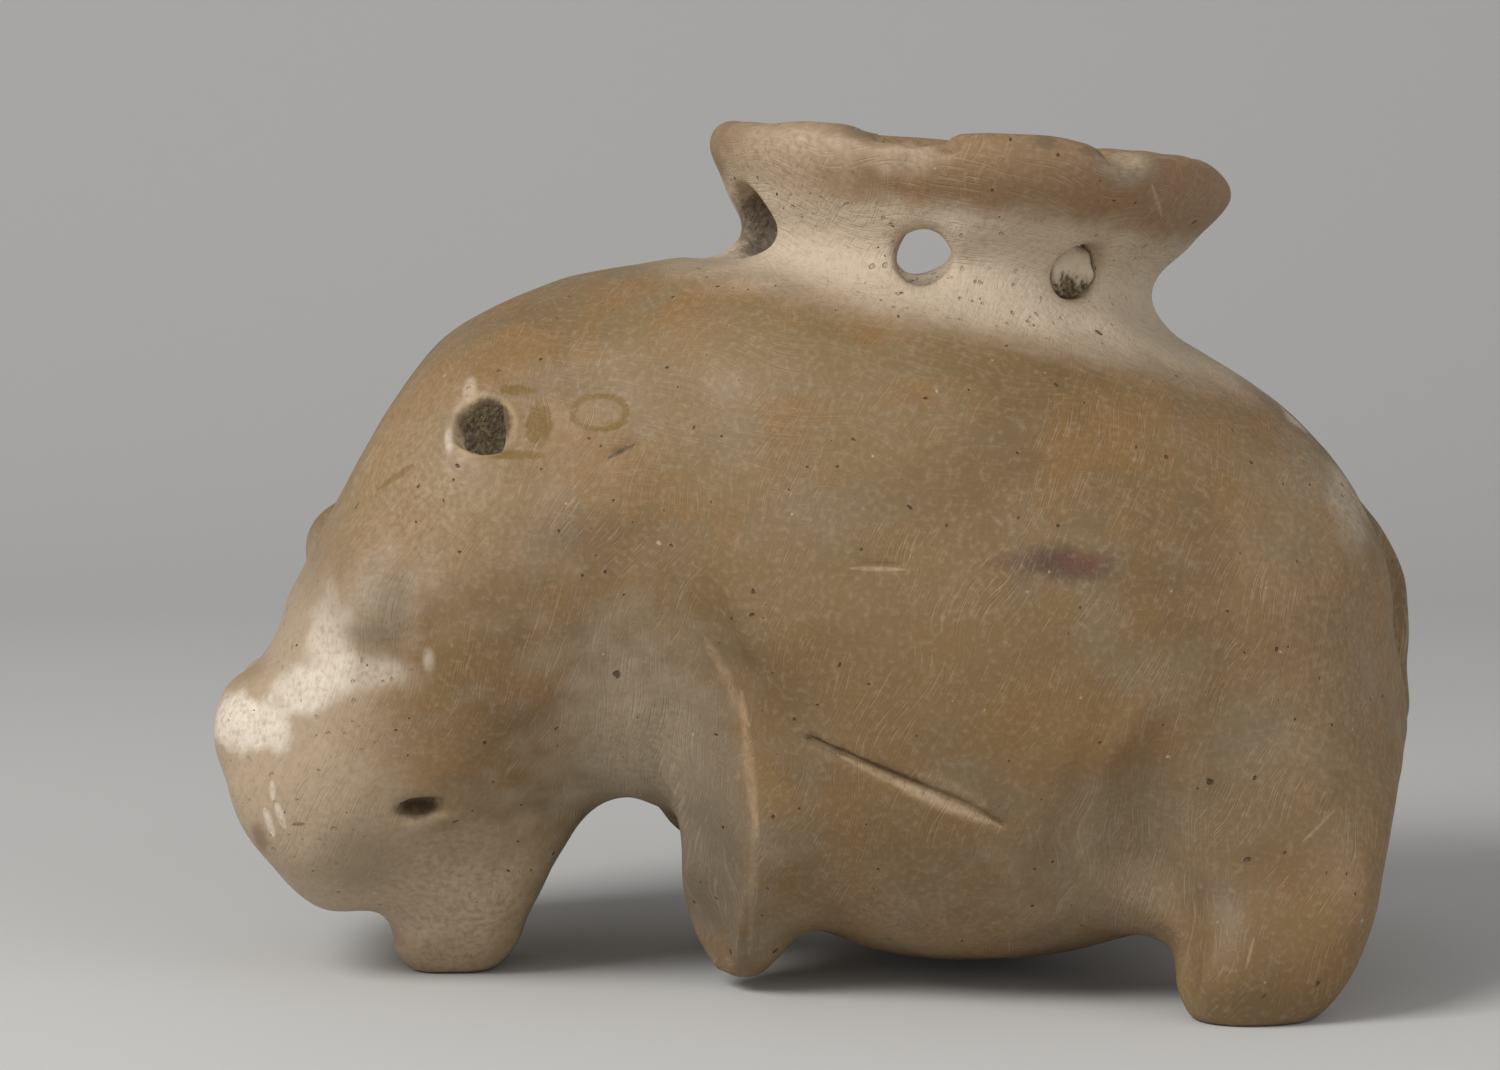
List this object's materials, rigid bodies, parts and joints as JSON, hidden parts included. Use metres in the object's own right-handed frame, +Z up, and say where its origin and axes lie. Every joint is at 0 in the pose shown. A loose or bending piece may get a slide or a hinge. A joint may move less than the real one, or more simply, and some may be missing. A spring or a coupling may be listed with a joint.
{
  "type": "askos vessel",
  "caption": "Hippopotamus-shaped clay vessel standing on its chin and hind feet, with a waisted neck on the back, pierced for a cord, under a flared rim.",
  "frame": {"origin": "on the ground under the middle of the vessel's bounding box", "axes": "+X from the muzzle to the tail, +Y to the animal's right, +Z up"},
  "size_m": [0.1192, 0.0722, 0.0844],
  "materials": {
    "fired_clay": "burnished buff-brown clay, worn pale",
    "eye_bedding": "dark granular paste",
    "hole_fill": "pale hardened fill"
  },
  "bodies": {
    "root": {"back_shell": "fired_clay", "belly_shell": "fired_clay", "head": "fired_clay", "hole_plug": "hole_fill", "left_brow": "fired_clay", "left_eye_bedding": "eye_bedding", "left_foreleg": "fired_clay", "left_hind_leg": "fired_clay", "left_nostril": "fired_clay", "lower_jaw": "fired_clay", "neck_collar": "fired_clay", "right_brow": "fired_clay", "right_eye_bedding": "eye_bedding", "right_foreleg": "fired_clay", "right_hind_leg": "fired_clay", "right_nostril": "fired_clay", "rim_lip": "fired_clay", "tail": "fired_clay"}
  },
  "joints": []
}
